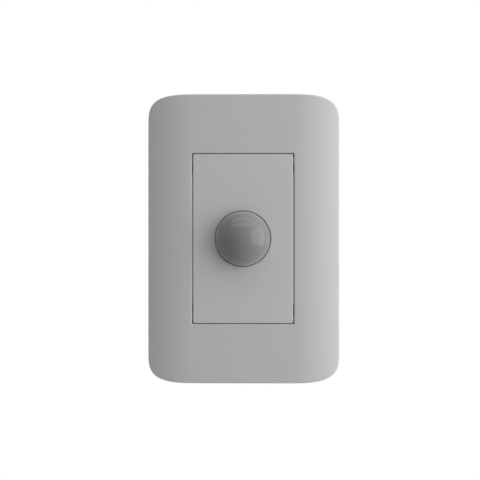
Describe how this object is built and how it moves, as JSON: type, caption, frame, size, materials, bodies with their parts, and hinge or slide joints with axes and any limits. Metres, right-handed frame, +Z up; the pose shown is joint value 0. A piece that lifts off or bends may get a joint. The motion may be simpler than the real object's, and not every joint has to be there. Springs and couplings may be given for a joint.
{
  "type": "motion sensor light switch",
  "caption": "Flush wall light switch with an infrared motion sensor: a grey cover plate with curved flanks, a flat insert with a lens dome, and a relay module behind the wall.",
  "frame": {"origin": "middle between the two box screws, on the wall's surface", "axes": "+Z up along the plate's height, the front faces -Y, the module goes into the wall along +Y"},
  "size_m": [0.078, 0.0502, 0.118],
  "materials": {
    "plate_plastic": "fine satin",
    "insert_plastic": "fine satin",
    "lens_plastic": "polished",
    "frame_plastic": "moulded",
    "housing_plastic": "moulded",
    "terminal_plastic": "moulded",
    "black_plastic": "moulded",
    "white_plastic": "moulded",
    "board_laminate": "solder resist",
    "nickel_can": "nickel plated",
    "filter_window": "polished",
    "photocell_ceramic": "coated ceramic",
    "capacitor_sleeve": "shrink sleeve",
    "film_case": "moulded case",
    "blue_epoxy": "dipped epoxy",
    "relay_case": "moulded case",
    "trimmer_case": "moulded case",
    "copper_wire": "enamelled copper wire",
    "copper_strip": "rolled copper alloy",
    "brass_metal": "plain brass",
    "soft_iron": "plated soft iron",
    "tinned_pin": "tinned",
    "zinc_steel": "zinc plated"
  },
  "bodies": {
    "base": {"support_frame": "frame_plastic", "box_screws": "zinc_steel", "module_fascia": "insert_plastic", "lens_dome": "lens_plastic", "lens_retainer": "black_plastic", "sensor_board": "board_laminate", "pir_can": "nickel_can", "pir_window": "filter_window", "photocell": "photocell_ceramic", "sensor_chip": "black_plastic", "sensor_capacitors": "capacitor_sleeve", "header_socket": "black_plastic", "header_strip": "black_plastic", "header_pins": "brass_metal", "power_board": "board_laminate", "dropper_capacitor": "film_case", "filter_capacitor": "capacitor_sleeve", "varistor": "blue_epoxy", "rectifier_diodes": "black_plastic", "relay_base": "black_plastic", "relay_bobbin": "white_plastic", "relay_winding": "copper_wire", "relay_core": "soft_iron", "relay_yoke": "soft_iron", "relay_fixed_contact": "copper_strip", "relay_pins": "tinned_pin", "relay_cover": "relay_case", "time_trimmer_base": "trimmer_case", "light_trimmer_base": "trimmer_case", "terminal_block": "terminal_plastic", "terminal_clamps": "brass_metal", "terminal_screws": "zinc_steel", "rear_housing": "housing_plastic", "housing_screws": "zinc_steel", "board_screws": "zinc_steel"},
    "plate": {"cover_plate": "plate_plastic"},
    "time_dial": {"time_trimmer_rotor": "white_plastic"},
    "light_dial": {"light_trimmer_rotor": "white_plastic"},
    "armature": {"relay_armature": "soft_iron", "relay_moving_contact": "copper_strip"}
  },
  "joints": [
    {"name": "plate_pull", "type": "slide", "parent": "base", "child": "plate", "axis": [0, -1, 0], "range_m": [0, 0.025]},
    {"name": "time_turn", "type": "hinge", "parent": "base", "child": "time_dial", "pos_m": [-0.0095, 0.025, 0.02], "axis": [0, 1, 0], "range_deg": [-105, 105]},
    {"name": "light_turn", "type": "hinge", "parent": "base", "child": "light_dial", "pos_m": [0.0095, 0.025, 0.02], "axis": [0, 1, 0], "range_deg": [-105, 105]},
    {"name": "armature_swing", "type": "hinge", "parent": "base", "child": "armature", "pos_m": [-0.0067, 0.0076, -0.0138], "axis": [0, 0, 1], "range_deg": [0, 4.5], "stiffness_Nm_per_rad": 0.02, "springref_deg": -5.73}
  ]
}
